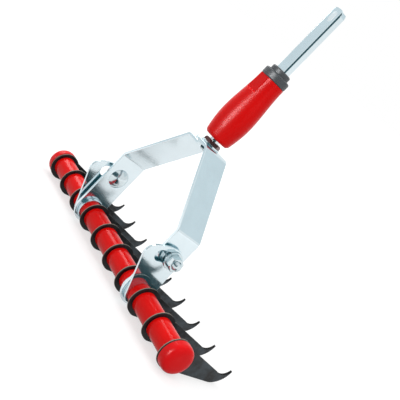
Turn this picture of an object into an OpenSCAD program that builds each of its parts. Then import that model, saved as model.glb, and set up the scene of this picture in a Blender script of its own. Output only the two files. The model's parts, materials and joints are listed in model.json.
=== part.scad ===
// Thatch rake head: hooked blades on a tube that swings in a two-armed yoke.
// X runs along the tube, +Y points the way the hooks reach, +Z is up.
// The blades stand on z = 0, and the handle leans to the hook side, against its stop.

/* [Blades] */
// Number of hooked blades on the tube, an even number
blade_count = 10; // [6:2:12]
// Distance from one blade to the next along the tube
blade_pitch = 33; // [30:0.5:40]
// Thickness of the blade steel
blade_t = 2.4; // [1.5:0.1:3]
// Height of the tube's axis above the blades' flat lower edge
stand_h = 15.8; // [15:0.1:18]
// Radius of the ring that holds a blade on the tube
ring_r = 15; // [14:0.1:18]
// How far the ring's middle lies towards the hook from the tube's axis
ring_lead = 1; // [0:0.1:1.5]
// How far the hook's point reaches from the tube's axis
hook_reach = 70.4; // [66:0.2:80]
// Height of the hook's point above the tube's axis
hook_rise = 1; // [0:0.2:3]
// Radius of the round heel under the hook
heel_r = 18.5; // [17:0.1:20]
// Radius of the hollow inside the hook
hollow_r = 9.5; // [9:0.1:10]
// Distance of the hollow's centre from the tube's axis
hollow_y = 61.3; // [60.8:0.1:61.5]
// Depth of the hollow's floor below the tube's axis
hollow_drop = 5.3; // [4.5:0.1:6]
// Height of the blade's upper edge where it leaves the ring
root_h = 12.9; // [11:0.1:14]

/* [Tube] */
// Outside diameter of the tube
tube_d = 22; // [20:0.1:23]
// Wall of the tube
tube_wall = 1.5; // [1:0.1:2.5]
// Length of tube beyond the outer blades
tube_end = 8; // [6:0.5:12]
// Outside diameter of an end cap
cap_d = 29.6; // [27:0.2:31]
// Thickness of an end cap's closed face
cap_face = 4.5; // [3:0.1:8]
// Radius of an end cap's rounded rim
cap_round = 3; // [1:0.1:4]

/* [Swing bracket] */
// Distance from the rake's middle to the inner face of an arm
arm_x = 64.2; // [60:0.1:66]
// Thickness of the arm steel
arm_t = 3; // [2.5:0.1:3.5]
// Width of the arm strip
arm_w = 31; // [30.2:0.1:31.4]
// Space between an arm and its sector plate
plate_gap = 2.6; // [2:0.1:4]
// Thickness of a sector plate
plate_t = 2.2; // [1.5:0.1:3]
// Radius of a sector plate's top edge, from the tube's axis
plate_r = 52.4; // [50:0.1:58]
// Radius of a sector plate where it goes round the tube
plate_eye_r = 13.2; // [12.8:0.1:15.4]
// Direction of a sector plate's front edge, from the hook direction
plate_front = 86; // [80:1:90]
// Direction of a sector plate's back edge, from the hook direction
plate_back = 107; // [102:1:112]
// Radius of a sector plate's top corners
plate_corner = 11; // [2:0.5:12]
// Outside diameter of the bearing collar between tube and arm
collar_d = 25.4; // [24.4:0.1:26]
// Length of the bearing collar on the inner side of an arm
collar_out = 4.2; // [2:0.1:6]
// Distance from the tube's axis to a stop bolt
bolt_r = 42; // [40:0.1:44]
// Lean of the handle from upright, at its stop
lean = 8.5; // [4:0.5:12]
// Free swing of the handle from that stop
swing = 19; // [10:1:22]

/* [Stop bolts] */
// Diameter of a stop bolt's shank
bolt_d = 8; // [6:0.1:8.4]
// Diameter of a stop bolt's domed head
dome_d = 20.6; // [16:0.1:24]
// Height of a stop bolt's domed head
dome_h = 4.6; // [3:0.1:6]
// Diameter of the sleeve that runs in a sector plate's slot
sleeve_d = 11; // [10:0.1:11.6]
// Diameter of the sleeve's flange and of the washer
washer_d = 18; // [16:0.1:22]
// Thickness of the washer under a nut
washer_t = 1.6; // [1:0.1:2.5]
// Width of a nut across its flats
nut_w = 13; // [12:0.1:15]
// Height of a nut
nut_h = 6.5; // [5:0.1:8]
// Length of bolt beyond its nut
bolt_end = 3.6; // [2:0.1:6]

/* [Yoke] */
// Distance from the tube's axis to the lower bend of an arm
bend_s = 65.5; // [64:0.5:70]
// Distance from the tube's axis to the underside of the hub
hub_s = 126.4; // [122:0.2:132]
// Distance from the rake's middle to the upper bend of an arm
hub_x = 15; // [14:0.1:18]
// Radius along the middle of the strip at a bend
bend_r = 5; // [3:0.1:7]
// Space between the end of an arm's tab and the start of the other arm's bend
tab_clear = 1; // [0.5:0.1:2]
// Diameter of the hub bolt
hub_bolt_d = 10; // [8:0.1:12]
// Diameter of the hub bolt's low round head, under the arms
hub_head_d = 16; // [14:0.1:20]
// Height of that head
hub_head_h = 2.6; // [2:0.1:5]
// Width of the hub bolt's thin nut across its flats
hub_nut_w = 16; // [15:0.1:19]
// Height of that nut
hub_nut_h = 3.4; // [3:0.1:8]
// Length of hub bolt that shows between its nut and the socket
hub_neck = 2.8; // [1:0.1:5]
// Diameter of the hub washer
hub_washer_d = 20; // [19:0.1:26]
// Thickness of the hub washer
hub_washer_t = 1.8; // [1:0.1:3]

/* [Socket] */
// Length of the red socket
socket_l = 73; // [68:0.5:80]
// Diameter of the socket at its lower end
socket_foot_d = 26.6; // [25:0.1:28]
// Diameter of the socket at its fullest
socket_belly_d = 33; // [31.4:0.1:35]
// Diameter of the socket at its upper end
socket_neck_d = 27; // [24:0.1:28]
// Depth to which the hub bolt goes into the socket
hub_bolt_in = 22; // [12:0.5:24]
// Distance from the socket's axis to the thumb flat at its upper end
thumb_flat = 12.2; // [11:0.1:12.8]
// Rise of the slanting ledge where the thumb flat starts
thumb_ledge = 1.4; // [0.5:0.1:3]
// Length of the grey collar above the socket
sleeve_l = 8; // [6:0.1:10]
// Diameter of the grey collar
sleeve_od = 27.2; // [24:0.1:29]
// Length of the shouldered cap at the tongue's root
shoulder_l = 5; // [4:0.1:7]
// Diameter of that cap
shoulder_d = 20.4; // [17.6:0.1:22]

/* [Tongue] */
// Length of the tongue beyond the cap
tongue_l = 74.5; // [60:0.5:90]
// Width of the tongue's flat face
tongue_w = 14.6; // [13:0.1:15]
// Depth of the tongue's folded sides
tongue_h = 7; // [6:0.1:7.4]
// Thickness of the tongue steel
tongue_t = 1.6; // [1.2:0.1:2]
// Length of the latch slot near the tongue's end
latch_l = 12; // [8:0.1:14]
// Width of the latch slot
latch_w = 6; // [5:0.1:7]
// Distance from the tongue's end to the latch slot's middle
latch_in = 9.6; // [9:0.1:14]

/* [Hidden] */

$fn = 64;
// Clearance of fixed fits, of the running fit on the collars and between moving faces
fixed_fit = 0.03;
running_fit = 0.06;
face_gap = 0.3;
// Overrun of every cut past the face that it opens
overrun = 1;
// How far a round reaches past the straight edge that trims it, so that the two cross cleanly
seam_sink = 0.12;
// Steps of a curved outline
bend_steps = 8;

tube_r = tube_d / 2;
collar_r = collar_d / 2;
blade_span = blade_pitch * (blade_count - 1);
tube_half = blade_span / 2 + tube_end;
plate_x = arm_x + arm_t + plate_gap;
bolt_hole_r = bolt_d / 2 + face_gap / 2;
slot_r = sleeve_d / 2 + face_gap;
washer_x = plate_x + plate_t + face_gap;
eye_r = arm_w / 2;

// A sector plate's rounded corner touches its edge, which touches the eye, and the top arc
corner_r = plate_r - plate_corner;
corner_in = plate_eye_r - plate_corner;
corner_up = sqrt(corner_r * corner_r - corner_in * corner_in);
function heading(a) = [cos(a), sin(a)];
function corner_at(a, side) = corner_up * heading(a) + side * corner_in * left_of(heading(a));
// The hook's point lies on the heel's arc, a little inside the reach that the arc would have
heel_y = hook_reach - heel_r;
heel_z = heel_r - stand_h - seam_sink;
point_y = heel_y + sqrt(heel_r * heel_r - (hook_rise - heel_z) * (hook_rise - heel_z));
// The plate's hindmost point and the hook's point set the middle of the part's depth
plate_depth = plate_corner + seam_sink - corner_at(plate_back, 1)[0];
tube_y = (plate_depth - point_y) / 2;

// The lower tab ends short of where the upper arm starts to bend down, and the upper one is as long
upper_tab_s = hub_s + 1.5 * arm_t;
tab_turn = atan2(upper_tab_s - bend_s, arm_x + arm_t / 2 - hub_x);
hub_tab = hub_x - bend_r * tan(tab_turn / 2) - tab_clear;

// Stations along the handle's axis, measured from the tube's axis
tab_top_s = hub_s + 2 * arm_t;
hub_nut_s = tab_top_s + hub_washer_t;
socket_s = hub_nut_s + hub_nut_h + hub_neck;
sleeve_s = socket_s + socket_l;
shoulder_s = sleeve_s + sleeve_l;
tongue_s = shoulder_s + shoulder_l;

zinc = [0.78, 0.8, 0.82];
paint_red = [0.8, 0.05, 0.05];
plastic_red = [0.72, 0.06, 0.06];
hook_black = [0.1, 0.1, 0.11];
collar_grey = [0.24, 0.24, 0.26];

// Places a piece of the head in the stored frame, its local Z along the tube
module on_tube() { translate([0, tube_y, stand_h]) rotate([90, 0, 90]) children(); }

// Places a piece of the yoke: local X along the tube, local Z along the handle
module on_handle() { translate([0, tube_y, stand_h]) rotate([-lean, 0, 0]) children(); }

// Stacks a round piece of the yoke across the rake: local Z runs outwards from the middle
module at_bolt(side) {
    on_handle() translate([0, 0, bolt_r]) rotate([0, side * 90, 0]) children();
}

module ring(outer, inner, length) {
    difference() {
        cylinder(r = outer, h = length);
        translate([0, 0, -overrun]) cylinder(r = inner, h = length + 2 * overrun);
    }
}

module hexagon(across, length) { cylinder(d = across / cos(30), h = length, $fn = 6); }

module tube() {
    color(paint_red) on_tube() translate([0, 0, -tube_half])
        ring(tube_r, tube_r - tube_wall, 2 * tube_half);
}

// A cup with a rounded rim over the tube's end
module end_cap(side) {
    cup = tube_half - blade_span / 2 - blade_t / 2 - face_gap;
    cap_l = cup + cap_face;
    color(plastic_red) on_tube() mirror([0, 0, side < 0 ? 1 : 0]) translate([0, 0, tube_half - cup])
        difference() {
            rotate_extrude() {
                square([cap_d / 2 - cap_round, cap_l]);
                square([cap_d / 2, cap_l - cap_round]);
                translate([cap_d / 2 - cap_round, cap_l - cap_round]) circle(cap_round);
            }
            translate([0, 0, -overrun]) cylinder(r = tube_r + fixed_fit, h = cup + overrun + fixed_fit);
        }
}

// The point where a line from p touches a circle from below
function touch(p, centre, r) =
    let (
        d = centre - p,
        far = norm(d),
        turn = atan2(d[1], d[0]) - asin(r / far),
        run = sqrt(far * far - r * r))
    p + run * heading(turn);

// Blade outline: the ring, a wedge that tapers from it, the round heel and the hollow of the hook
module hook_outline() {
    hollow = [hollow_y, hollow_r - hollow_drop];
    root = [0, root_h];
    below = -2 * ring_r;
    difference() {
        intersection() {
            // The flat lower edge that the blade stands on
            translate([below, -stand_h]) square([2 * hook_reach, 3 * ring_r]);
            union() {
                // The ring reaches down to that edge
                translate([ring_lead, ring_r - stand_h]) circle(ring_r + seam_sink);
                difference() {
                    intersection() {
                        polygon([[0, below], [hook_reach, below], [hook_reach, hook_rise],
                            hollow, touch(root, hollow, hollow_r - seam_sink), root]);
                        union() {
                            translate([-ring_r, below]) square([heel_y + ring_r, 4 * ring_r]);
                            translate([heel_y, heel_z]) circle(heel_r);
                        }
                    }
                    translate(hollow) circle(hollow_r);
                }
            }
        }
        circle(tube_r + fixed_fit);
    }
}

module hook_blade(i) {
    color(hook_black) on_tube()
        translate([0, 0, (i - 1) * blade_pitch - blade_span / 2 - blade_t / 2])
        linear_extrude(blade_t) hook_outline();
}

// One side of the fan between a plate's edges: where it leaves the eye, where the edge ends,
// the corner's centre, and a point beyond the top arc
fan_share = 1.3;
function fan_side(a, side) =
    let (
        foot = side * (plate_eye_r + seam_sink) * left_of(heading(a)),
        corner = corner_at(a, side))
    [foot, foot + corner_up * heading(a), corner, corner * fan_share];

// One straight edge, from below the eye to beyond the top arc
function edge_line(a, side) =
    let (foot = side * plate_eye_r * left_of(heading(a)))
    [foot - 2 * plate_eye_r * heading(a), foot + fan_share * plate_r * heading(a)];

// Sector plate outline: an eye round the tube that fans out, trimmed by two edges and the top arc
module sector_outline() {
    intersection() {
        circle(plate_r, $fn = 128);
        polygon(concat(edge_line(plate_front, -1), reversed(edge_line(plate_back, 1))));
        union() {
            circle(plate_eye_r + seam_sink);
            polygon(concat(fan_side(plate_front, -1), reversed(fan_side(plate_back, 1))));
            translate(corner_at(plate_front, -1)) circle(plate_corner + seam_sink);
            translate(corner_at(plate_back, 1)) circle(plate_corner + seam_sink);
        }
    }
}

// Curved slot that the stop bolt's sleeve runs in, from its stop at rest to the end of the swing
module swing_slot() {
    rest = 90 - lean;
    rotate(rest) rotate_extrude(angle = swing)
        translate([bolt_r - slot_r, -overrun]) square([2 * slot_r, plate_t + 2 * overrun]);
    for (a = [rest, rest + swing])
        rotate(a) translate([bolt_r, 0, -overrun])
            cylinder(r = slot_r + seam_sink, h = plate_t + 2 * overrun);
}

module sector_plate(side) {
    color(zinc) on_tube() translate([0, 0, side > 0 ? plate_x : -plate_x - plate_t])
        difference() {
            linear_extrude(plate_t) sector_outline();
            translate([0, 0, -overrun]) cylinder(r = tube_r + fixed_fit, h = plate_t + 2 * overrun);
            swing_slot();
        }
}

module bearing_collar(side) {
    length = plate_x - arm_x + collar_out;
    color(zinc) on_tube() translate([0, 0, side > 0 ? arm_x - collar_out : -plate_x])
        ring(collar_r, tube_r + fixed_fit, length);
}

// One edge of a strip bent along a path, at an offset from the path's middle line
function unit(v) = v / norm(v);
function left_of(v) = [-v[1], v[0]];
function bent_edge(path, off) = [for (i = [0:len(path) - 1])
    let (
        last = len(path) - 1,
        u = unit(i == 0 ? path[1] - path[0] : path[i] - path[i - 1]),
        v = unit(i == last ? path[i] - path[i - 1] : path[i + 1] - path[i]),
        turn = i == 0 || i == last ? 0 : atan2(u[0] * v[1] - u[1] * v[0], u * v),
        hand = turn < 0 ? -1 : 1,
        centre = path[i] - u * bend_r * tan(abs(turn) / 2) + left_of(u) * bend_r * hand,
        start = atan2(-left_of(u)[1] * hand, -left_of(u)[0] * hand))
    each turn == 0
        ? [path[i] + left_of(u) * off]
        : [for (k = [0:bend_steps])
            let (a = start + turn * k / bend_steps)
            centre + (bend_r - off * hand) * [cos(a), sin(a)]]];
function reversed(list) = [for (i = [len(list) - 1:-1:0]) list[i]];

// Arm: a flat strip with a bored eye at the tube, two bends and a tab at the hub
module arm(side, layer) {
    mid_x = arm_x + arm_t / 2;
    tab_s = hub_s + (layer + 0.5) * arm_t;
    path = [[mid_x, -eye_r], [mid_x, bend_s], [hub_x, tab_s], [-hub_tab, tab_s]];
    strip = concat(bent_edge(path, arm_t / 2), reversed(bent_edge(path, -arm_t / 2)));
    color(zinc) on_handle() mirror([side < 0 ? 1 : 0, 0, 0]) difference() {
        intersection() {
            translate([0, eye_r, 0]) rotate([90, 0, 0]) linear_extrude(arm_w) polygon(strip);
            union() {
                translate([arm_x - overrun, 0, 0]) rotate([0, 90, 0])
                    cylinder(r = eye_r, h = arm_t + 2 * overrun);
                translate([0, -eye_r, 0]) cube([mid_x + arm_t, arm_w, hub_s + 2 * arm_t + overrun]);
                translate([0, 0, hub_s - overrun]) cylinder(r = eye_r, h = 2 * arm_t + 2 * overrun);
            }
        }
        translate([arm_x - overrun, 0, 0]) rotate([0, 90, 0])
            cylinder(r = collar_r + running_fit, h = arm_t + 2 * overrun);
        translate([arm_x - overrun, -bolt_hole_r, bolt_r - bolt_hole_r])
            cube([arm_t + 2 * overrun, 2 * bolt_hole_r, 2 * bolt_hole_r]);
        translate([0, 0, hub_s - overrun])
            cylinder(r = hub_bolt_d / 2 + fixed_fit, h = 2 * arm_t + 2 * overrun);
    }
}

// A round-topped bolt head, its flat face at z = 0 and its dome below
module dome(across, rise) {
    ball_r = (across * across / 4 + rise * rise) / (2 * rise);
    intersection() {
        translate([0, 0, ball_r - rise]) sphere(ball_r);
        translate([0, 0, -rise]) cylinder(d = across, h = rise);
    }
}

// Carriage bolt: domed head on the arm's inner face, square neck in the arm, threaded shank
module stop_bolt(side) {
    shank_l = washer_x + washer_t + nut_h + bolt_end - arm_x;
    neck = 2 * bolt_hole_r - 2 * fixed_fit;
    color(zinc) at_bolt(side) translate([0, 0, arm_x]) {
        dome(dome_d, dome_h);
        translate([-neck / 2, -neck / 2, 0]) cube([neck, neck, arm_t]);
        cylinder(d = bolt_d, h = shank_l);
    }
}

// Flanged sleeve that spaces the plate from the arm and runs in the curved slot
module slot_sleeve(side) {
    color(zinc) at_bolt(side) translate([0, 0, arm_x + arm_t]) difference() {
        union() {
            cylinder(d = washer_d, h = plate_gap - face_gap);
            cylinder(d = sleeve_d, h = washer_x - arm_x - arm_t);
        }
        translate([0, 0, -overrun]) cylinder(r = bolt_hole_r, h = washer_x + 2 * overrun);
    }
}

module bolt_washer(side) {
    color(zinc) at_bolt(side) translate([0, 0, washer_x]) ring(washer_d / 2, bolt_hole_r, washer_t);
}

module bolt_nut(side) {
    color(zinc) at_bolt(side) translate([0, 0, washer_x + washer_t]) difference() {
        intersection() {
            hexagon(nut_w, nut_h);
            nut_chamfer(nut_w, nut_h);
        }
        translate([0, 0, -overrun]) cylinder(r = bolt_d / 2 + fixed_fit, h = nut_h + 2 * overrun);
    }
}

// Round blank whose coned face takes the outer corners off a hexagon
module nut_chamfer(across, length) {
    blank_r = across / cos(30) / 2;
    drop = blank_r - across / 2;
    rotate_extrude() polygon([[0, 0], [blank_r, 0], [blank_r, length - drop],
        [across / 2, length], [0, length]]);
}

module hub_bolt() {
    color(zinc) on_handle() translate([0, 0, hub_s]) {
        dome(hub_head_d, hub_head_h);
        cylinder(d = hub_bolt_d, h = socket_s - hub_s + hub_bolt_in);
    }
}

module hub_washer() {
    color(zinc) on_handle() translate([0, 0, tab_top_s])
        ring(hub_washer_d / 2, hub_bolt_d / 2 + fixed_fit, hub_washer_t);
}

module hub_nut() {
    color(zinc) on_handle() translate([0, 0, hub_nut_s]) difference() {
        intersection() {
            hexagon(hub_nut_w, hub_nut_h);
            nut_chamfer(hub_nut_w, hub_nut_h);
        }
        translate([0, 0, -overrun])
            cylinder(r = hub_bolt_d / 2 + fixed_fit, h = hub_nut_h + 2 * overrun);
    }
}

// Half width of the socket along its length: full at the belly, drawn in to foot and neck
belly_share = 0.36;
foot_lip = 1.5;
function socket_half(t) = t < belly_share
    ? socket_foot_d / 2 + (socket_belly_d - socket_foot_d) / 2 * sin(90 * t / belly_share)
    : socket_neck_d / 2 + (socket_belly_d - socket_neck_d) / 2
        * (0.5 + 0.5 * cos(180 * (t - belly_share) / (1 - belly_share)));
profile_steps = 24;

// Place along the socket where the ledge above the belly starts
ledge_share = 0.737;

module socket() {
    ledge_r = socket_half(ledge_share);
    ledge_z = ledge_share * socket_l;
    slope = thumb_ledge / (ledge_r - thumb_flat);
    color(plastic_red) on_handle() translate([0, 0, socket_s]) difference() {
        rotate_extrude() polygon(concat(
            [[0, 0], [socket_foot_d / 2 - foot_lip, 0], [socket_foot_d / 2, foot_lip]],
            [for (k = [1:profile_steps]) [socket_half(k / profile_steps), socket_l * k / profile_steps]],
            [[0, socket_l]]));
        // Bore for the hub bolt
        translate([0, 0, -overrun])
            cylinder(r = hub_bolt_d / 2 + fixed_fit, h = hub_bolt_in + overrun + face_gap);
        // Thumb flat: a cut down the upper end, as far as a slanting ledge above the belly
        rotate([90, 0, 90]) translate([0, 0, -socket_belly_d])
            linear_extrude(2 * socket_belly_d) polygon([
                [-socket_belly_d, ledge_z - slope * (socket_belly_d - ledge_r)],
                [-thumb_flat, ledge_z + thumb_ledge],
                [-thumb_flat, socket_l + overrun], [-socket_belly_d, socket_l + overrun]]);
    }
}

module socket_collar() {
    lip = (sleeve_od - socket_neck_d) / 2 + sleeve_l / 8;
    color(collar_grey) on_handle() translate([0, 0, sleeve_s]) rotate_extrude() polygon([
        [0, 0], [socket_neck_d / 2 - lip / 2, 0], [sleeve_od / 2, lip], [sleeve_od / 2, sleeve_l - lip],
        [sleeve_od / 2 - lip, sleeve_l], [0, sleeve_l]]);
}

// Cap with a slot-shaped hole that the tongue's root passes through
module shoulder_cap() {
    lip = shoulder_l / 5;
    color(collar_grey) on_handle() translate([0, 0, shoulder_s]) difference() {
        rotate_extrude() polygon([[0, 0], [shoulder_d / 2, 0], [shoulder_d / 2, shoulder_l - lip],
            [shoulder_d / 2 - lip, shoulder_l], [0, shoulder_l]]);
        translate([0, 0, -overrun]) linear_extrude(shoulder_l + 2 * overrun)
            tongue_section(fixed_fit);
    }
}

// Cross-section of the tongue: a flat face with a folded side on each edge
module tongue_section(fit) {
    half = tongue_w / 2 + fit;
    wall = tongue_t + 2 * fit;
    front = -tongue_h / 2 - fit;
    for (x = [-half, half - wall]) translate([x, front]) square([wall, tongue_h + 2 * fit]);
    translate([-half, front]) square([2 * half, wall]);
}

// Tongue: a folded channel with a rounded end and a latch slot
module tongue() {
    length = shoulder_l + tongue_l;
    slot_z = length - latch_in;
    round_r = tongue_w / 3;
    color(zinc) on_handle() translate([0, 0, shoulder_s]) difference() {
        intersection() {
            linear_extrude(length) tongue_section(0);
            translate([0, tongue_h, 0]) rotate([90, 0, 0]) linear_extrude(2 * tongue_h) {
                translate([-tongue_w / 2, 0]) square([tongue_w, length - round_r]);
                translate([round_r - tongue_w / 2, 0]) square([tongue_w - 2 * round_r, length]);
                for (x = [-1, 1])
                    translate([x * (tongue_w / 2 - round_r), length - round_r]) circle(round_r);
            }
        }
        for (z = [-1, 1]) translate([0, 0, slot_z + z * (latch_l - latch_w) / 2]) rotate([90, 0, 0])
            cylinder(d = latch_w, h = tongue_h);
        translate([-latch_w / 2, -tongue_h, slot_z - (latch_l - latch_w) / 2])
            cube([latch_w, tongue_h, latch_l - latch_w]);
    }
}

tube();
end_cap(-1);  // end_cap_left
end_cap(1);  // end_cap_right
for (i = [1:blade_count]) hook_blade(i);
sector_plate(-1);  // sector_plate_left
sector_plate(1);  // sector_plate_right
bearing_collar(-1);  // bearing_collar_left
bearing_collar(1);  // bearing_collar_right
arm(-1, 0);  // arm_left
arm(1, 1);  // arm_right
stop_bolt(-1);  // stop_bolt_left
stop_bolt(1);  // stop_bolt_right
slot_sleeve(-1);  // slot_sleeve_left
slot_sleeve(1);  // slot_sleeve_right
bolt_washer(-1);  // bolt_washer_left
bolt_washer(1);  // bolt_washer_right
bolt_nut(-1);  // bolt_nut_left
bolt_nut(1);  // bolt_nut_right
hub_bolt();
hub_washer();
hub_nut();
socket();
socket_collar();
shoulder_cap();
tongue();
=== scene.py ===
# %% [markdown]
# # A thatch rake head, dressed and lit
# This rake pulls dead grass out of a lawn. Ten black hooks sit on a red tube, the tube swings in a bent
# zinc-plated yoke, and a red socket with a flat steel tongue takes a plug-on handle. The exact solids come
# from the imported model, so this lesson adds what the solids lack: rounded edges, threads, finishes and
# light.

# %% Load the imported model
import json
import math

import bmesh
import bpy
from mathutils import Matrix, Quaternion, Vector

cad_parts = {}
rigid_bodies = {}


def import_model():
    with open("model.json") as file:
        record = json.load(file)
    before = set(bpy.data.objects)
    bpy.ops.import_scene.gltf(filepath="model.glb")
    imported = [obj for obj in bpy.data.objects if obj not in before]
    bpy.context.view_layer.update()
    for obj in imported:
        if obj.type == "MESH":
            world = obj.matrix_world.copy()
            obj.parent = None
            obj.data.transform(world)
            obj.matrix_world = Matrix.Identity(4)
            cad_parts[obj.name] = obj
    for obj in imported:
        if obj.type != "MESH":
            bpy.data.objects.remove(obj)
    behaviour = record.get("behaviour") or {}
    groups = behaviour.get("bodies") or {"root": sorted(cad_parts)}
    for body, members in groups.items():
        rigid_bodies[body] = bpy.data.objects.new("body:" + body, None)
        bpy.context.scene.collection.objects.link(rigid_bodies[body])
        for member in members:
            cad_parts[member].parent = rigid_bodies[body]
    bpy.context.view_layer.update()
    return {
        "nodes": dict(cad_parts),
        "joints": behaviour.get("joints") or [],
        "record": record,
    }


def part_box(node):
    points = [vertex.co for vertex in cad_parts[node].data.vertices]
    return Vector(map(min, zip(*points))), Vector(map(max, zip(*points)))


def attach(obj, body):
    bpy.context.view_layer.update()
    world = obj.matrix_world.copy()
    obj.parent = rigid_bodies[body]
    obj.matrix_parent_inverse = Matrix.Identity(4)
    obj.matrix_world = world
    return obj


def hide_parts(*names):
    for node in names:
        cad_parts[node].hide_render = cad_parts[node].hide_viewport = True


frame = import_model()
nodes = frame["nodes"]


def in_mm(metres, digits=1):
    """A length in millimetres, rounded for printing."""
    return round(1000 * metres, digits)


# %% [markdown]
# Two lines run through the whole tool: the tube's axis, which the yoke swings on, and the handle's axis,
# which leans a little towards the hooks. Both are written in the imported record, as a joint and as a mount.
# Reading them there is safer than typing numbers, because every piece made below then lands where the
# solids are.

# %% Find the tube's axis and the handle's axis
tube_line = Vector(frame["joints"][0]["pos_m"])
handle_mount = next(mount for mount in frame["record"]["mounts"] if mount["name"] == "handle_tongue")
handle_up = Vector(handle_mount["axis"]).normalized()
handle_lean = math.degrees(math.atan2(handle_up.y, handle_up.z))
print("tube axis at", [in_mm(c) for c in tube_line], "mm, handle leans", round(handle_lean, 2), "degrees")

# %% [markdown]
# The photograph was taken from the near end of the tube with the camera rolled, so the handle points to the
# upper right. A camera can be aimed with a constraint, but a rolled one is clearer from a place, an aim and
# a roll: the aim gives a direction, the direction gives a rotation, and the roll turns that about its own
# line of sight. Lamps and cards are aimed in the same way further on, so this is a helper.

# %% Set the camera


def stand(name, data, place, target, roll=0.0):
    """A new object that stands at a place and looks at a target, rolled about its line of sight."""
    made = bpy.data.objects.new(name, data)
    made.location = place
    made.rotation_mode = "QUATERNION"
    sight = (Vector(target) - Vector(place)).to_track_quat("-Z", "Y")
    made.rotation_quaternion = sight @ Quaternion((0, 0, 1), roll)
    bpy.context.scene.collection.objects.link(made)
    return made


eye = Vector((0.58137, -0.481664, 0.27074))
aim = Vector((0.00224, 0.026646, 0.09659))
roll = math.radians(38.17)
picture_px, focal_px, sensor_mm = 400, 829.02, 36
camera = stand("camera", bpy.data.cameras.new("camera"), eye, aim, roll)
camera.data.sensor_width = sensor_mm
camera.data.lens = focal_px / picture_px * sensor_mm
camera.data.clip_start, camera.data.clip_end = 0.01, 50
bpy.context.scene.camera = camera
print("lens", round(camera.data.lens, 2), "mm, distance", round((aim - eye).length, 3), "m")

# %% [markdown]
# A finish in Blender is a tree of nodes: some make a pattern, some turn it into a colour or a number, and
# the shader at the end uses them. Such trees can be drawn by hand in the shader editor. In a script, a few
# helpers that add a node and join it to the last one keep each finish down to lines that read like a
# recipe.

# %% A little kit for writing finishes as node trees


def new_finish(name):
    """A new material, with its node tree and its main shader."""
    made = bpy.data.materials.new(name)
    made.use_nodes = True
    return made, made.node_tree, made.node_tree.nodes["Principled BSDF"]


def add(tree, kind, inputs=(), **settings):
    """One node: inputs are pairs of a socket and its value, and the other settings are properties."""
    node = tree.nodes.new("ShaderNode" + kind)
    for socket, value in inputs:
        node.inputs[socket].default_value = value
    for key, value in settings.items():
        setattr(node, key, value)
    return node


def sums(tree, operation, one, other):
    """One step of arithmetic on a socket and a socket or a number."""
    step = add(tree, "Math", operation=operation)
    tree.links.new(one, step.inputs[0])
    if isinstance(other, (int, float)):
        step.inputs[1].default_value = other
    else:
        tree.links.new(other, step.inputs[1])
    return step.outputs[0]


def spread(tree, value, low, high, bottom=0.3, top=0.7):
    """Maps a value from between bottom and top, where most noise lies, to between low and high."""
    node = add(tree, "MapRange", inputs=(("From Min", bottom), ("From Max", top),
                                         ("To Min", low), ("To Max", high)))
    tree.links.new(value, node.inputs["Value"])
    return node.outputs[0]


def shine_only(tree, shader, light):
    """Takes the main shader out and shows another one in its place."""
    tree.nodes.remove(shader)
    tree.links.new(light.outputs[0], tree.nodes["Material Output"].inputs["Surface"])


print("finish kit ready")

# %% [markdown]
# The object stands on a white sweep. A white floor lit to full white would also throw too much light back,
# so only the rays that are seen, straight or in a reflection, meet extra brightness. That extra grows with
# the distance from the rake, because the lamps fade there, and it is small near the rake, which keeps the
# soft shadow under it. The room works in the same way: full white where it is seen, dimmer where it only
# gives light.

# %% Lay the floor and light the room


def seen_rays(tree):
    """A value of 1 for rays that are seen straight, in a gloss or through glass."""
    path = add(tree, "LightPath")
    seen = sums(tree, "MAXIMUM", path.outputs["Is Camera Ray"], path.outputs["Is Glossy Ray"])
    return sums(tree, "MAXIMUM", seen, path.outputs["Is Transmission Ray"])


def flat_sheet(name, width, height):
    """The mesh of one rectangle round its own middle."""
    mesh = bpy.data.meshes.new(name)
    w, h = width / 2, height / 2
    mesh.from_pydata([(-w, -h, 0), (w, -h, 0), (w, h, 0), (-w, h, 0)], [], [(0, 1, 2, 3)])
    return mesh


floor_width, floor_drop, floor_grey = 24.0, 0.0002, (0.38, 0.38, 0.38, 1)
white = (1, 1, 1, 1)
glow_near, glow_far = 0.64, 0.92
glow_starts, glow_ends = 0.15, 0.8
room_light, room_white = 0.42, 1.0

floor = bpy.data.objects.new("floor", flat_sheet("floor", floor_width, floor_width))
floor.location.z = -floor_drop
bpy.context.scene.collection.objects.link(floor)

sweep, tree, shader = new_finish("white_sweep")
matt = add(tree, "BsdfDiffuse", inputs=(("Color", floor_grey),))
glow = add(tree, "Emission", inputs=(("Color", white),))
place = add(tree, "NewGeometry")
distance = add(tree, "VectorMath", operation="LENGTH")
tree.links.new(place.outputs["Position"], distance.inputs[0])
rise = spread(tree, distance.outputs["Value"], glow_near, glow_far, glow_starts, glow_ends)
tree.links.new(sums(tree, "MULTIPLY", seen_rays(tree), rise), glow.inputs["Strength"])
both = add(tree, "AddShader")
tree.links.new(matt.outputs[0], both.inputs[0])
tree.links.new(glow.outputs[0], both.inputs[1])
shine_only(tree, shader, both)
floor.data.materials.append(sweep)

room = bpy.data.worlds.new("white_room")
bpy.context.scene.world = room
room.use_nodes = True
tree = room.node_tree
walls = tree.nodes["Background"]
walls.inputs["Color"].default_value = white
tree.links.new(spread(tree, seen_rays(tree), room_light, room_white, 0, 1), walls.inputs["Strength"])
bpy.context.scene.view_settings.view_transform = "Standard"
print("white floor", floor_width, "m wide, and a white room that gives", room_light, "of its light")

# %% [markdown]
# Bright metal and glossy paint only look right when they have something to reflect. A photographer hangs
# large softboxes round the table and stands cards where a reflection is wanted. Most lamps here don't show
# in reflections, because their image would burn out the bright steel. The two light stripes are made on
# purpose: the tube's by one narrow lamp that does show, and the socket's by a very bright card. A dark card
# beside the camera gives the steel its dark parts, and two cool grey ones give it its blue. Only
# reflections see the cards, so they cast no shadow and never show in the picture.

# %% Hang the softboxes and stand the cards


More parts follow.
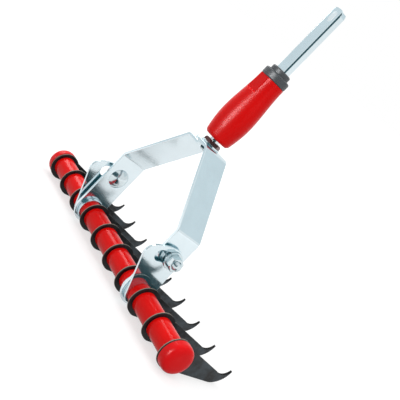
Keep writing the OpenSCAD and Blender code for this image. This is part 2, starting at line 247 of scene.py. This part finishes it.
def softbox(name, place, target, width, height, watts, mirrored=False):
    """An area lamp; only a mirrored one shows in reflections, so the others can't burn out the steel."""
    lamp = bpy.data.lights.new(name, "AREA")
    lamp.shape, lamp.size, lamp.size_y, lamp.energy = "RECTANGLE", width, height, watts
    stand(name, lamp, place, target).visible_glossy = mirrored


def card(name, place, target, width, height, colour):
    """A flat card that only reflections see."""
    made = stand(name, flat_sheet(name, width, height), place, target)
    made.visible_camera = made.visible_diffuse = made.visible_shadow = False
    made.visible_transmission = made.visible_volume_scatter = False
    paint, tree, shader = new_finish(name)
    shine_only(tree, shader, add(tree, "Emission", inputs=(("Color", (*colour, 1)), ("Strength", 1.0))))
    made.data.materials.append(paint)
    return made


middle = (0, 0, 0.12)
arm_place, tongue_place = (0.045, -0.008, 0.11), (0, 0.02, 0.27)
very_bright, dark_teal, cool_grey = (30, 30, 30), (0.05, 0.075, 0.085), (0.77, 0.82, 0.845)
softbox("overhead", (-0.15, 0.25, 1.3), middle, width=1.1, height=1.1, watts=7.0)
softbox("fill", (0.3, -1.3, 0.9), middle, width=1.2, height=0.9, watts=8.0)
softbox("near_end", (1.5, 0.1, 0.7), middle, width=0.9, height=0.9, watts=8.0)
softbox("tube_stripe", (-0.85, -0.14, 0.74), middle, width=0.34, height=0.7, watts=4.6, mirrored=True)
stripe_card = card("socket_stripe", (0.28, -0.98, 0.2), middle, width=0.42, height=0.7, colour=very_bright)
card("camera_side_card", (1.1, -0.95, 0.4), middle, width=2.0, height=1.2, colour=dark_teal)
card("arm_card", (0.40, 0.90, 0.79), arm_place, width=0.7, height=0.7, colour=cool_grey)
card("tongue_card", (-0.95, -0.80, 0.55), tongue_place, width=0.8, height=1.0, colour=cool_grey)
print("four softboxes and four cards")

# %% [markdown]
# Real sheet metal and moulded plastic have no knife-sharp edges: a tiny round catches a thin line of light.
# The solids' edges are sharp. A solid that needs more than that is made anew further on, and each of the
# others gets modifiers, so its mesh stays as it is. The triangles are welded and flat ones merged first,
# because a bevel needs clean edges, and weighted normals keep the flat faces flat.

# %% Round the solids' edges with modifiers
smooth_faces = bpy.data.node_groups.new("smooth_faces", "GeometryNodeTree")
for way in ("INPUT", "OUTPUT"):
    smooth_faces.interface.new_socket("Geometry", in_out=way, socket_type="NodeSocketGeometry")
way_in = smooth_faces.nodes.new("NodeGroupInput")
way_out = smooth_faces.nodes.new("NodeGroupOutput")
smoother = smooth_faces.nodes.new("GeometryNodeSetShadeSmooth")
smooth_faces.links.new(way_in.outputs[0], smoother.inputs["Geometry"])
smooth_faces.links.new(smoother.outputs[0], way_out.inputs[0])

weld_gap, flat_within = 0.000002, math.radians(0.6)
edge_steps, edge_angle = 2, math.radians(30)
area_weight = 60


def weigh_normals(piece, keep_sharp):
    """Lets the large faces decide the shading, so that flats look flat."""
    shade = piece.modifiers.new("shade", "WEIGHTED_NORMAL")
    shade.mode, shade.weight, shade.keep_sharp = "FACE_AREA", area_weight, keep_sharp


def soften(piece, width):
    """Welds the node's triangles, rounds its edges and keeps its flats flat."""
    weld = piece.modifiers.new("weld", "WELD")
    weld.merge_threshold = weld_gap
    flats = piece.modifiers.new("flats", "DECIMATE")
    flats.decimate_type, flats.angle_limit = "DISSOLVE", flat_within
    edge = piece.modifiers.new("edge", "BEVEL")
    edge.width, edge.segments = width, edge_steps
    edge.limit_method, edge.angle_limit = "ANGLE", edge_angle
    edge.use_clamp_overlap = True
    smooth = piece.modifiers.new("smooth", "NODES")
    smooth.node_group = smooth_faces
    weigh_normals(piece, keep_sharp=False)


edge_widths = {"hook_blade": 0.0001, "sector_plate": 0.00035, "arm": 0.0005, "hub": 0.00025,
               "bolt_washer": 0.0002, "slot_sleeve": 0.0002, "bearing_collar": 0.0003,
               "socket_collar": 0.0005, "shoulder_cap": 0.0005, "socket": 0.0006, "tube": 0.0002}
for name, piece in sorted(nodes.items()):
    width = next((w for start, w in edge_widths.items() if name.startswith(start)), None)
    if width:
        soften(piece, width)
print("softened", sum(1 for piece in nodes.values() if piece.modifiers), "nodes")

# %% [markdown]
# The tube is sprayed: the paint lies over the steel with a faint orange-peel ripple and a clear gloss. A
# fine noise through a bump node gives the ripple, a wide one shifts the red a little, and a third one makes
# some places duller. All live in the object's own coordinates, so they stay on the tube when it turns. The
# moulded pieces need the same three noises at other sizes, so the coat is a helper.

# %% Red paint for the tube


def own_coordinates(tree, scale=(1, 1, 1)):
    """The piece's own coordinates in metres, stretched by a scale."""
    place = add(tree, "TexCoord")
    stretch = add(tree, "Mapping", inputs=(("Scale", scale),))
    tree.links.new(place.outputs["Object"], stretch.inputs["Vector"])
    return stretch.outputs[0]


def speckle(tree, where, scale, detail, roughness=0.5):
    """A noise value; its scale counts the spots in a metre."""
    noise = add(tree, "TexNoise", inputs=(("Scale", scale), ("Detail", detail), ("Roughness", roughness)))
    tree.links.new(where, noise.inputs["Vector"])
    return noise.outputs["Fac"]


def two_colours(tree, value, one, other, bottom=0.3, top=0.7):
    """A ramp from one colour to the other."""
    ramp = add(tree, "ValToRGB")
    ends = ramp.color_ramp.elements
    ends[0].position, ends[1].position = bottom, top
    ends[0].color, ends[1].color = (*one, 1), (*other, 1)
    tree.links.new(value, ramp.inputs["Fac"])
    return ramp.outputs["Color"]


def ripple(tree, shader, height, strength, distance):
    """Raises a height into the shader's normal."""
    bump = add(tree, "Bump", inputs=(("Strength", strength), ("Distance", distance)))
    tree.links.new(height, bump.inputs["Height"])
    tree.links.new(bump.outputs[0], shader.inputs["Normal"])


def smooth_coat(name, dark, light, clouds, dullness, smears, grain, bump, depth, gloss):
    """A coloured coat: wide clouds shift its colour, smears its dullness, and a fine grain ripples it."""
    made, tree, shader = new_finish(name)
    here = own_coordinates(tree)
    colour = two_colours(tree, speckle(tree, here, clouds, detail=3), dark, light)
    tree.links.new(colour, shader.inputs["Base Color"])
    dull = spread(tree, speckle(tree, here, smears, detail=4), *dullness)
    tree.links.new(dull, shader.inputs["Roughness"])
    ripple(tree, shader, speckle(tree, here, *grain), bump, depth)
    shader.inputs["Specular IOR Level"].default_value = gloss
    return made


tube_paint = smooth_coat("tube_red_paint", (0.715, 0.003, 0.002), (0.78, 0.005, 0.004), clouds=22,
                         dullness=(0.15, 0.24), smears=160, grain=(700, 2), bump=0.05, depth=0.0004,
                         gloss=0.10)
print("tube paint")

# %% [markdown]
# The end caps and the socket are moulded in red plastic. A mould gives an even skin, a little duller than
# paint, with a very fine grain. It could be the tube's paint again, but then the joint between cap and tube
# would hardly show. So the same coat is mixed once more with a deeper red, less ripple and a softer gloss.

# %% Moulded red plastic for the end caps and the socket


def red_plastic(name, dark, light, grain_scale):
    """Moulded plastic, with the grain of its own mould."""
    return smooth_coat(name, dark, light, clouds=30, dullness=(0.29, 0.33), smears=260,
                       grain=(grain_scale, 3), bump=0.004, depth=0.0003, gloss=0.11)


cap_plastic = red_plastic("cap_red_plastic", (0.70, 0.003, 0.005), (0.75, 0.006, 0.008), grain_scale=1500)
socket_plastic = red_plastic("socket_red_plastic", (0.70, 0.002, 0.002), (0.75, 0.004, 0.003),
                             grain_scale=1100)
print("red plastics")

# %% [markdown]
# The hooks are punched from sheet steel and dipped black, and how they look depends on the place. Their
# sides face along the tube and their punched rims don't, so the surface normal's share along the tube tells
# the two apart. The distance from the tube's axis tells ring from hook. The place along the tube, counted
# afresh at each blade, tells how far a point lies into the steel's thickness. Masks could be painted by
# hand instead, but masks from measures serve all ten blades at once.

# %% Find the places on a hook
blades, blade_pitch, blade_steel = 10, 0.033, 0.0024
hook_black, tree, shader = new_finish("hook_black_coat")
here = own_coordinates(tree)


def parts(tree, vector):
    """The X, Y and Z of a vector."""
    split = add(tree, "SeparateXYZ")
    tree.links.new(vector, split.inputs[0])
    return split.outputs


normal = parts(tree, add(tree, "NewGeometry").outputs["Normal"])
flatness = add(tree, "Math", operation="ABSOLUTE")
tree.links.new(normal["X"], flatness.inputs[0])
on_rim = spread(tree, flatness.outputs[0], 1, 0, bottom=0.45, top=0.95)

spot = parts(tree, here)
first_side = blades * blade_pitch + blade_steel / 2 + blade_pitch / 2
into_steel = sums(tree, "MODULO", sums(tree, "ADD", spot["X"], first_side), blade_pitch)

off_x = add(tree, "CombineXYZ")
tree.links.new(spot["Y"], off_x.inputs["Y"])
tree.links.new(spot["Z"], off_x.inputs["Z"])
from_axis = add(tree, "VectorMath", operation="DISTANCE", inputs=((1, tuple(tube_line)),))
tree.links.new(off_x.outputs[0], from_axis.inputs[0])
off_tube = from_axis.outputs["Value"]
print("hook places: blades every", in_mm(blade_pitch), "mm, steel", in_mm(blade_steel), "mm thick")

# %% [markdown]
# The flat sides are deep black near the tube and a cloudy blue-black further out. The black near the tube
# is painted shade and a painted dark reflection, where the tube and the next blades darken the sides. The
# rims are a dull dark grey with rubbed spots. Round the tube each ring carries a thin light line on one half
# of its rim, which fades out along the hook: a painted highlight, where the rim catches the light from
# above. Separate finishes would need a seam between them, so one finish mixes these colours by the places
# found above.

# %% Black coat for the hooks


def blend(tree, factor, one, other):
    """Mixes two colours, each a plain one or a socket, by a factor."""
    mix = add(tree, "Mix", data_type="RGBA")
    tree.links.new(factor, mix.inputs["Factor"])
    for colour, socket in ((one, mix.inputs[6]), (other, mix.inputs[7])):
        if isinstance(colour, tuple):
            socket.default_value = (*colour, 1)
        else:
            tree.links.new(colour, socket)
    return mix.outputs[2]


# The band and the beige below paint a highlight: a thin light line on one half of each ring's rim.
highlight_band_full, highlight_band_gone = blade_steel * 0.28, blade_steel * 0.46
ring_ends, hook_starts = 0.0162, 0.0186
# Painted shade: between these distances from the axis the sides go from the painted black to their own tone.
root_shade_full, root_shade_gone = 0.016, 0.034
black_and_root_shade, blue_black = (0.0022, 0.0029, 0.0033), (0.054, 0.072, 0.085)
rim_dark, rim_rubbed, rim_highlight_beige = (0.012, 0.0125, 0.013), (0.032, 0.033, 0.033), (0.30, 0.25, 0.21)
side_dullness, rim_dullness = (0.26, 0.46), 0.7
side_gloss, rim_gloss = 0.3, 0.05

clouds = speckle(tree, here, 80, detail=5, roughness=0.6)
rubbed = speckle(tree, here, 240, detail=5)
cloudy = spread(tree, clouds, 0, 1, bottom=0.36, top=0.70)
# Painted shade: near the tube the sides keep to the painted black.
painted_root_shade = spread(tree, off_tube, 0.12, 1, bottom=root_shade_full, top=root_shade_gone)
side = blend(tree, sums(tree, "MULTIPLY", cloudy, painted_root_shade), black_and_root_shade, blue_black)
rim = two_colours(tree, rubbed, rim_dark, rim_rubbed, bottom=0.38, top=0.76)
# Painted highlight on the rings' rims, mixed in over the coat.
in_highlight_band = spread(tree, into_steel, 1, 0, bottom=highlight_band_full, top=highlight_band_gone)
on_ring = spread(tree, off_tube, 1, 0, bottom=ring_ends, top=hook_starts)
painted_rim_highlight = sums(tree, "MULTIPLY", sums(tree, "MULTIPLY", in_highlight_band, on_ring), on_rim)
tree.links.new(blend(tree, painted_rim_highlight, blend(tree, on_rim, side, rim), rim_highlight_beige), shader.inputs["Base Color"])

satin = add(tree, "Mix", data_type="FLOAT", inputs=((3, rim_dullness),))
tree.links.new(on_rim, satin.inputs[0])
tree.links.new(spread(tree, clouds, *side_dullness), satin.inputs[2])
tree.links.new(satin.outputs[0], shader.inputs["Roughness"])
glossy = spread(tree, on_rim, side_gloss, rim_gloss, bottom=0, top=1)
tree.links.new(glossy, shader.inputs["Specular IOR Level"])
ripple(tree, shader, speckle(tree, here, 1300, detail=3), strength=0.06, distance=0.0003)
# The band in this print is the painted highlight on the rings' rims.
print("hook coat, burnished band about", in_mm((highlight_band_full + highlight_band_gone) / 2, 2), "mm wide")

# %% [markdown]
# Bright zinc is a thin plated layer over rolled steel. It keeps the faint streaks of the rolls, and its
# crystals make soft patches that are a little duller. So the metal's roughness follows long thin noise
# along the strip and round noise over it, and a weak bump makes highlights break up the way plated steel
# does. The plating is sealed with a thin blue film, which hardly shows in bright reflections but turns dark
# ones teal. A tinted sheen does the same, with less work than a clear coat of its own.

# %% Zinc plating
streaks_across, streaks_along = 900.0, 18.0
patch_shade, sheen_weight, sheen_spread = 0.95, 0.32, 1.0


def zinc(name, along, colour, dull, film=(0.10, 0.45, 0.55)):
    """Plated steel with rolling streaks along one axis of the piece."""
    made, tree, shader = new_finish(name)
    stretch = [streaks_across] * 3
    stretch[along] = streaks_along
    streaks = speckle(tree, own_coordinates(tree, tuple(stretch)), 1.0, detail=3)
    patches = speckle(tree, own_coordinates(tree), 70, detail=5, roughness=0.6)
    shaded = tuple(patch_shade * c for c in colour)
    tree.links.new(two_colours(tree, patches, shaded, colour), shader.inputs["Base Color"])
    least, most = dull
    from_streaks = spread(tree, streaks, 0, (most - least) / 2)
    from_patches = spread(tree, patches, least, (least + most) / 2)
    tree.links.new(sums(tree, "ADD", from_streaks, from_patches), shader.inputs["Roughness"])
    ripple(tree, shader, streaks, strength=0.02, distance=0.0003)
    shader.inputs["Metallic"].default_value = 1.0
    shader.inputs["Sheen Weight"].default_value = sheen_weight
    shader.inputs["Sheen Roughness"].default_value = sheen_spread
    shader.inputs["Sheen Tint"].default_value = (*film, 1)
    return made


x_axis, y_axis, z_axis = 0, 1, 2
strip_zinc = zinc("zinc_strip", z_axis, (0.75, 0.815, 0.845), dull=(0.10, 0.18))
plate_zinc = zinc("zinc_plate", y_axis, (0.74, 0.81, 0.84), dull=(0.06, 0.12))
bolt_zinc = zinc("zinc_fastener", x_axis, (0.66, 0.715, 0.735), dull=(0.12, 0.20))
# The hub's nut gets a dark red-brown with no film: painted shade, with a painted reflection of the red
# socket.
nut_painted_shade_steel = zinc("dark_fastener", x_axis, (0.11, 0.055, 0.055), dull=(0.22, 0.36), film=(0, 0, 0))
# The blackened one in this print is the nut's painted shade.
print("three zinc finishes and a blackened one")

# %% [markdown]
# The collar at the top of the socket, and the smaller cap above it, are moulded in a dark grey plastic with
# a satin skin. A rubber would be duller still and a paint shinier, so the coat of the other moulded pieces
# is mixed again here, with a rougher skin, a finer grain and more gloss than the red has.

# %% Grey moulded plastic for the collar
collar_grey = smooth_coat("collar_grey_plastic", (0.060, 0.068, 0.074), (0.072, 0.081, 0.087), clouds=60,
                          dullness=(0.40, 0.46), smears=500, grain=(1800, 3), bump=0.006, depth=0.0003,
                          gloss=0.3)
print("collar plastic")

# %% [markdown]
# The solids arrive in plain stand-in colours. Each could be dressed by hand, but a solid's name says what
# it is made of, so one list from the start of a name to a finish dresses them all. The first match counts,
# so a longer name stands before a shorter one that it starts with.

# %% Put the finishes on the solids
wardrobe = {"tube": tube_paint, "end_cap": cap_plastic, "hook_blade": hook_black, "sector_plate": plate_zinc,
            "bearing_collar": plate_zinc, "arm": strip_zinc, "tongue": strip_zinc,
            "socket_collar": collar_grey, "shoulder_cap": collar_grey, "socket": socket_plastic,
            "stop_bolt": bolt_zinc, "slot_sleeve": bolt_zinc, "bolt": bolt_zinc,
            "hub_nut": nut_painted_shade_steel, "hub": bolt_zinc}
for name, piece in sorted(nodes.items()):
    coat = next(finish for start, finish in wardrobe.items() if name.startswith(start))
    piece.data.materials.clear()
    piece.data.materials.append(coat)
print("dressed", len(nodes), "nodes")

# %% [markdown]
# Bolts, caps and nuts are turned pieces: rings of points along an axis, joined to a skin. A spin or a screw
# modifier could turn a profile too, but rings whose radius may change with the angle also give a square
# neck, a thread or a hexagon. All of these pieces point along the tube, to the right or to the left.

# %% A small lathe


def along_tube(start, side):
    """Lays a turned piece's axis along the tube from a place, to the right (side 1) or left (side -1)."""
    turn = Matrix(((0, 0, side, 0), (0, 1, 0, 0), (-side, 0, 0, 0), (0, 0, 0, 1)))
    return Matrix.Translation(start) @ turn


def lathe_ring(mesh, matrix, radius, height, steps):
    """One ring of points; radius may be a function of the angle."""
    ring = []
    for k in range(steps):
        a = 2 * math.pi * k / steps
        r = radius(a) if callable(radius) else radius
        ring.append(mesh.verts.new(matrix @ Vector((r * math.cos(a), r * math.sin(a), height))))
    return ring


def bridge(mesh, one, other):
    """Joins two rings with as many points by a band of faces."""
    steps = len(one)
    for k in range(steps):
        mesh.faces.new((one[k], one[(k + 1) % steps], other[(k + 1) % steps], other[k]))


def bridge_all(mesh, rings):
    """Joins each ring to the next."""
    for one, other in zip(rings, rings[1:]):
        bridge(mesh, one, other)


def fan(mesh, matrix, ring, height):
    """Closes a ring by triangles round a point on the axis."""
    point = mesh.verts.new(matrix @ Vector((0, 0, height)))
    for k, corner in enumerate(ring):
        mesh.faces.new((point, corner, ring[(k + 1) % len(ring)]))


def close_piece(name, mesh, finish, body, node, crease):
    """Turns a bmesh into a smooth piece with creases over an angle, which takes a solid's place."""
    bmesh.ops.recalc_face_normals(mesh, faces=mesh.faces[:])
    made = bpy.data.meshes.new(name)
    mesh.to_mesh(made)
    mesh.free()
    for face in made.polygons:
        face.use_smooth = True
    piece = bpy.data.objects.new(name, made)
    bpy.context.scene.collection.objects.link(piece)
    made.materials.append(finish)
    split = piece.modifiers.new("crease", "EDGE_SPLIT")
    split.split_angle = math.radians(crease)
    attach(piece, body)
    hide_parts(node)
    print(name, "faces", len(made.polygons))
    return piece


print("lathe ready")

# %% [markdown]
# The two stop bolts are carriage bolts: a smooth dome, a square neck that keeps the bolt from turning, and
# an M8 thread of 1.25 mm pitch. A thread could be a boolean or a screw modifier, but a grid round the shank
# whose radius rises and falls along a helix is lighter, closes cleanly and can fade out into the chamfer at
# the end.

# %% Make the carriage bolts with real threads
bolt_steps = 48
dome_height, dome_rows, dome_bulge = 0.0046, 12, 1.03
rim_height, rim_round = 0.0006, 0.985
neck_length, neck_straight, corner_power = 0.003, 0.96, 10
shank_radius, shank_under, shank_gap = 0.004, 0.93, 0.001
thread_pitch, thread_depth, rows_per_turn = 0.00125, 0.00068, 8
tooth_slope, tooth_valley = 1.6, 0.3
chamfer_length, chamfer_depth = 0.0009, 0.0005


def square(half):
    """The radius of a square with slightly rounded corners, by angle."""
    def radius(a):
        x, y = abs(math.cos(a)), abs(math.sin(a))
        return half / (x ** corner_power + y ** corner_power) ** (1 / corner_power)
    return radius


def thread(side, height, full):
    """The radius of the thread at a height, by angle; full falls from 1 to 0 along the chamfer."""
    def radius(a):
        turn = (height / thread_pitch - side * a / (2 * math.pi)) % 1.0
        tooth = min(1.0, max(0.0, tooth_slope * (1 - abs(2 * turn - 1)) - tooth_valley))
        return shank_radius - thread_depth + thread_depth * tooth * full - chamfer_depth * (1 - full)
    return radius


def carriage_bolt(name, node, side):
    """A bolt as long as its solid, with its head towards the rake's middle and its thread outwards."""
    low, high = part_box(node)
    centre = (low + high) / 2
    length, dome_radius = high.x - low.x, (high.z - low.z) / 2
    ball = (dome_radius ** 2 + dome_height ** 2) / (2 * dome_height)
    profile = []
    for k in range(1, dome_rows + 1):
        h = (dome_height - rim_height) * (k / dome_rows) ** 2
        profile.append((min(math.sqrt(max(2 * ball * h - h * h, 0)) * dome_bulge, dome_radius), h))
    profile += [(dome_radius, dome_height - rim_height * 0.5), (dome_radius * rim_round, dome_height)]
    neck_end = dome_height + neck_length
    profile += [(square(shank_radius), dome_height),
                (square(shank_radius), dome_height + neck_length * neck_straight),
                (shank_radius * shank_under, neck_end)]
    start = neck_end + shank_gap
    rows = int((length - start) / thread_pitch * rows_per_turn)
    for j in range(rows + 1):
        h = start + (length - start) * j / rows
        profile.append((thread(side, h, min(1.0, (length - h) / chamfer_length)), h))

    matrix = along_tube((low.x if side > 0 else high.x, centre.y, centre.z), side)
    mesh = bmesh.new()
    rings = [lathe_ring(mesh, matrix, radius, h, bolt_steps) for radius, h in profile]
    bridge_all(mesh, rings)
    fan(mesh, matrix, rings[0], 0)
    fan(mesh, matrix, rings[-1], length)
    close_piece(name, mesh, bolt_zinc, "yoke", node, crease=50)
    print("  length in mm", in_mm(length), "turns of thread", round((length - start) / thread_pitch, 1))


carriage_bolt("carriage_bolt_right", "stop_bolt_right", 1)
carriage_bolt("carriage_bolt_left", "stop_bolt_left", -1)

# %% [markdown]
# The caps at the tube's ends are moulded cups with a soft crowned face, more like a button than a disc. One
# profile makes them: up the bore, round the open edge, along the side and over the crown. An arc would make
# the crown a dome and a bevel would leave it flat, so it follows a curve between a circle and a square,
# which keeps the rim round and the face calm.

# %% Turn the end caps
cap_steps, cap_bore, cap_edge, cap_skirt = 96, 0.01104, 0.0003, 0.002
crown_rows, crown_power = 24, 3.8


def end_cap(name, node, side):
    """A cup over the tube's end, as long and as wide as its solid's box."""
    low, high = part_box(node)
    tube_end = max(abs(corner.x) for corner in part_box("tube"))
    inner_end, outer_end = sorted((abs(low.x), abs(high.x)))
    rim, cup, length = (high.z - low.z) / 2, tube_end - inner_end, outer_end - inner_end
    profile = [(cap_bore, cup), (cap_bore, 0), (rim - cap_edge, 0), (rim, cap_edge), (rim, cap_skirt)]
    for k in range(1, crown_rows):
        a = math.pi / 2 * k / crown_rows
        inwards, outwards = math.cos(a) ** (2 / crown_power), math.sin(a) ** (2 / crown_power)
        profile.append((rim * inwards, cap_skirt + (length - cap_skirt) * outwards))

    matrix = along_tube((side * inner_end, tube_line.y, tube_line.z), side)
    mesh = bmesh.new()
    rings = [lathe_ring(mesh, matrix, radius, h, cap_steps) for radius, h in profile]
    bridge_all(mesh, rings)
    fan(mesh, matrix, rings[0], cup)
    fan(mesh, matrix, rings[-1], length)
    close_piece(name, mesh, cap_plastic, "head", node, crease=40)


end_cap("crowned_cap_right", "end_cap_right", 1)
end_cap("crowned_cap_left", "end_cap_left", -1)

# %% [markdown]
# A forged nut has a coned chamfer on both faces, which leaves curved lines where it meets the six flats,
# and a countersink where the thread starts. A bevel can't follow that cone. Rings whose radius is the
# smaller of a hexagon and a cone can, and the solid's own corner tells which way the flats face.

# %% Make the nuts
nut_steps, nut_flats, nut_bore, nut_sink = 96, 0.013, 0.00406, 0.00475
nut_face, cone_slope = 0.0062, 1.73
cone_drops = [0.0001, 0.0002, 0.0003, 0.0004, 0.0005, 0.0006, 0.0008]


def hexagon(turn, cone):
    """The radius of the nut's hexagon, cut by a cone, by angle."""
    def radius(a):
        in_side = (a - turn) % (math.pi / 3) - math.pi / 6
        return min(nut_flats / 2 / math.cos(in_side), cone)
    return radius


def nut(name, node, side):
    """A chamfered nut with a countersunk bore, turned as its solid is."""
    low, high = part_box(node)
    centre = (low + high) / 2
    length, sink_depth = high.x - low.x, nut_sink - nut_bore
    matrix = along_tube((low.x if side > 0 else high.x, centre.y, centre.z), side)
    back = matrix.inverted()
    corner = max((back @ v.co for v in nodes[node].data.vertices), key=lambda p: p.x ** 2 + p.y ** 2)
    turn = math.atan2(corner.y, corner.x)
    cones = [(hexagon(turn, nut_face + drop * cone_slope), drop) for drop in cone_drops]
    profile = [(nut_sink, 0), (nut_face, 0), *cones]
    profile += [(radius, length - drop) for radius, drop in reversed(cones)]
    profile += [(nut_face, length), (nut_sink, length)]
    profile += [(nut_bore, length - sink_depth), (nut_bore, sink_depth)]

    mesh = bmesh.new()
    rings = [lathe_ring(mesh, matrix, radius, h, nut_steps) for radius, h in profile]
    bridge_all(mesh, rings + rings[:1])
    close_piece(name, mesh, bolt_zinc, "yoke", node, crease=24)


nut("chamfered_nut_right", "bolt_nut_right", 1)
nut("chamfered_nut_left", "bolt_nut_left", -1)

# %% [markdown]
# The tongue is a strip folded to a channel, with a rounded end and a slot for the handle's latch. It could
# be the solid with a bevel on its bends, but a bevel also rounds the cut edges. So it is built as two
# skins, one steel thickness apart. Columns of points run up the handle round each bend, the last row
# follows the rounded end, and a ring of faces leaves the slot open.

# %% Lay out the tongue's skins
tongue_half, tongue_front, tongue_back = 0.0073, -0.0035, 0.0035
tongue_steel, bend_radius, bend_steps = 0.0016, 0.0018, 8
tongue_tip, tip_corner = 0.3009, 0.00487
slot_middle, slot_straight, slot_radius = 0.2913, 0.003, 0.003
heights = [0.2214, 0.283, 0.286, 0.289, 0.292, 0.295]
flat_half, flat_steps = tongue_half - bend_radius, 10
flat_xs = [flat_half * (2 * k / flat_steps - 1) for k in range(1, flat_steps)]
turns = [k * math.pi / (2 * bend_steps) for k in range(bend_steps + 1)]
flat_left, flat_right = len(turns), len(turns) + 1
across = Vector((1, 0, 0))
to_back = across.cross(handle_up)


def along_handle(x, y, s):
    """A place on the yoke: x along the tube, y towards the hooks, s up the handle from the tube's axis."""
    return tube_line + across * x - to_back * y + handle_up * s


def end_of(x):
    """How far up the tongue reaches at x, with its two rounded corners."""
    over = max(abs(x) - (tongue_half - tip_corner), 0)
    return tongue_tip - tip_corner + math.sqrt(max(tip_corner ** 2 - over ** 2, 0))


def slot_edge(x, s):
    """Where a line from the slot's middle towards (x, s) meets the slot's edge."""
    far = math.hypot(x, s)
    x, s = x / far, s / far
    if abs(x) > 0 and abs(s) * slot_radius / abs(x) <= slot_straight:
        return math.copysign(slot_radius, x), s * slot_radius / abs(x)
    reach_out = abs(s) * slot_straight + math.sqrt(max(slot_radius ** 2 - (x * slot_straight) ** 2, 0))
    return x * reach_out, s * reach_out


def tongue_skin(mesh, depth):
    """One skin at a depth in the steel: its columns, the edge round its upper flat and the slot's edge."""
    r, level, low = bend_radius - depth, tongue_front + depth, heights[1]
    outline = [(depth - tongue_half, tongue_back)]
    outline += [(-flat_half - r * math.cos(a), tongue_front + bend_radius - r * math.sin(a)) for a in turns]
    outline += [(flat_half + r * math.sin(a), tongue_front + bend_radius - r * math.cos(a)) for a in turns]
    outline += [(tongue_half - depth, tongue_back)]
    columns = [[mesh.verts.new(along_handle(x, y, s)) for s in heights + [end_of(x)]] for x, y in outline]
    low_row = [mesh.verts.new(along_handle(x, level, low)) for x in flat_xs]
    top_row = [mesh.verts.new(along_handle(x, level, end_of(x))) for x in reversed(flat_xs)]
    one, other = columns[flat_left], columns[flat_right]
    rim = [one[1], *low_row, *other[1:], *top_row, *reversed(one[2:])]
    places = [(-flat_half, low), *((x, low) for x in flat_xs), *((flat_half, s) for s in heights[1:]),
              (flat_half, end_of(flat_half)), *((x, end_of(x)) for x in reversed(flat_xs)),
              (-flat_half, end_of(flat_half)), *((-flat_half, s) for s in reversed(heights[2:]))]
    edge = [slot_edge(x, s - slot_middle) for x, s in places]
    hole = [mesh.verts.new(along_handle(x, level, s + slot_middle)) for x, s in edge]
    for i in range(len(columns) - 1):
        for j in range(len(heights)):
            if i != flat_left:
                mesh.faces.new((columns[i][j], columns[i + 1][j], columns[i + 1][j + 1], columns[i][j + 1]))
    mesh.faces.new((one[0], other[0], other[1], *reversed(low_row), one[1]))
    bridge(mesh, rim, hole)
    return columns, rim, hole


print("tongue", in_mm(2 * tongue_half), "mm wide,", in_mm(tongue_back - tongue_front), "mm deep")

# %% [markdown]
# Folding leaves a round on the outside of each bend, and that round shows as one dark line along the bright
# steel, where it mirrors the dark side of the room. Here that line is painted: a painted dark reflection in
# a second finish on the bends' own faces, a darker zinc that is also duller, as plating that crazes there
# is.
# Paint or a thin extra strip would lie on top of the steel; the second finish stays in the surface, and a
# face's direction tells whether it belongs to a bend.

# %% Fold the tongue
# The bends' zinc: its dark colour is a painted reflection of the room's dark side, its dullness the crazed
# plating.
bend_painted_shade_zinc = zinc("zinc_bend", z_axis, (0.075, 0.115, 0.135), dull=(0.30, 0.42))
bend_area, least_level, least_back = 1e-6, 0.9, 0.2
least_lean, most_lean = 0.30, 0.97


def on_bend(face):
    """True for a long face on the outside of a bend: it leans between the flat and the channel's sides."""
    sideways, backwards = face.normal @ across, face.normal @ to_back
    level = math.hypot(sideways, backwards) > least_level
    leans = least_lean < abs(sideways) < most_lean and backwards > least_back
    return level and leans and face.area > bend_area


def folded_tongue(name, node):
    """The outer and the inner skin, joined along all their edges."""
    mesh = bmesh.new()
    outer, outer_rim, outer_hole = tongue_skin(mesh, 0)
    inner, inner_rim, inner_hole = tongue_skin(mesh, tongue_steel)
    bridge(mesh, outer_hole, inner_hole)
    for i in range(len(outer) - 1):
        mesh.faces.new((outer[i][0], outer[i + 1][0], inner[i + 1][0], inner[i][0]))
        if i != flat_left:
            mesh.faces.new((outer[i][-1], outer[i + 1][-1], inner[i + 1][-1], inner[i][-1]))
    for i in (0, -1):
        for j in range(len(heights)):
            mesh.faces.new((outer[i][j], outer[i][j + 1], inner[i][j + 1], inner[i][j]))
    for k in range(outer_rim.index(outer[flat_right][-1]), outer_rim.index(outer[flat_left][-1])):
        mesh.faces.new((outer_rim[k], outer_rim[k + 1], inner_rim[k + 1], inner_rim[k]))
    piece = close_piece(name, mesh, strip_zinc, "yoke", node, crease=40)
    piece.data.materials.append(bend_painted_shade_zinc)
    weigh_normals(piece, keep_sharp=True)
    for face in piece.data.polygons:
        if on_bend(face):
            face.material_index = 1
    print("  faces on the bends", sum(face.material_index for face in piece.data.polygons))


folded_tongue("folded_tongue", "tongue")

# %% [markdown]
# The bright card that draws the stripe on the socket would burn out every steel edge that faces it, and the
# yoke would vanish against the white room when it is seen from the front. A photographer puts a small flag
# between the card and the steel. Light linking does the same here: the card leaves out the pieces on its
# list.

# %% Keep the bright card off the steel
flagged = bpy.data.collections.new("kept_off_by_flags")
plated = (strip_zinc, plate_zinc, bolt_zinc)
for piece in sorted(bpy.data.objects, key=lambda made: made.name):
    if piece.type == "MESH" and piece.data.materials and piece.data.materials[0] in plated:
        flagged.objects.link(piece)
for held in flagged.collection_objects:
    held.light_linking.link_state = "EXCLUDE"
stripe_card.light_linking.receiver_collection = flagged
